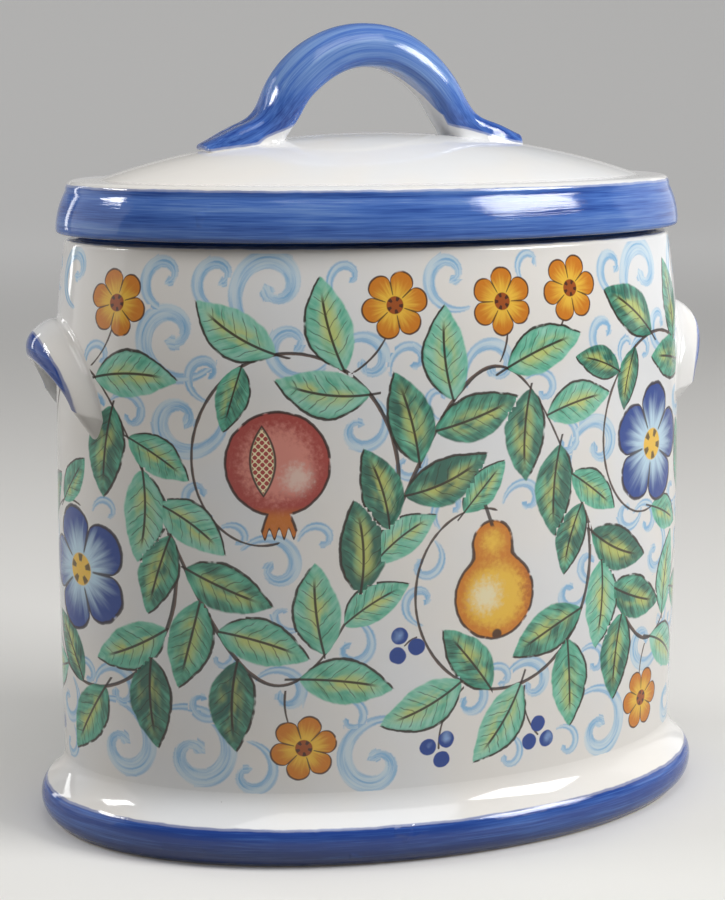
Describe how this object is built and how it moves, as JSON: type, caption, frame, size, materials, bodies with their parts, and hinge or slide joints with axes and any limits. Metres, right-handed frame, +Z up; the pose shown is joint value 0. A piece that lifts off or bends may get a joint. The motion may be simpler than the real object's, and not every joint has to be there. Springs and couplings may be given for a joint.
{
  "type": "biscotti jar",
  "caption": "Oval biscotti jar in glazed earthenware with a flared foot, hooded ear handles and a lift-off domed lid with an arched strap handle.",
  "frame": {"origin": "on the standing surface, under the middle of the oval body", "axes": "+Z up, +X along the long way of the oval towards the right-hand ear, -Y to the front"},
  "size_m": [0.244, 0.1554, 0.2723],
  "materials": {
    "glaze_white": "glossy warm white tin glaze with hand-painted decoration",
    "glaze_blue": "glossy brushed cobalt blue glaze"
  },
  "bodies": {
    "jar": {"foot_ring": "glaze_blue", "jar_wall": "glaze_white", "jar_floor": "glaze_white", "ear_left": "glaze_white", "ear_right": "glaze_white"},
    "lid": {"lid_shell": "glaze_white", "lid_flange": "glaze_white", "lid_handle": "glaze_blue"}
  },
  "joints": [
    {"name": "lid_lift", "type": "slide", "parent": "jar", "child": "lid", "axis": [0, 0, 1], "range_m": [0, 0.2]}
  ]
}
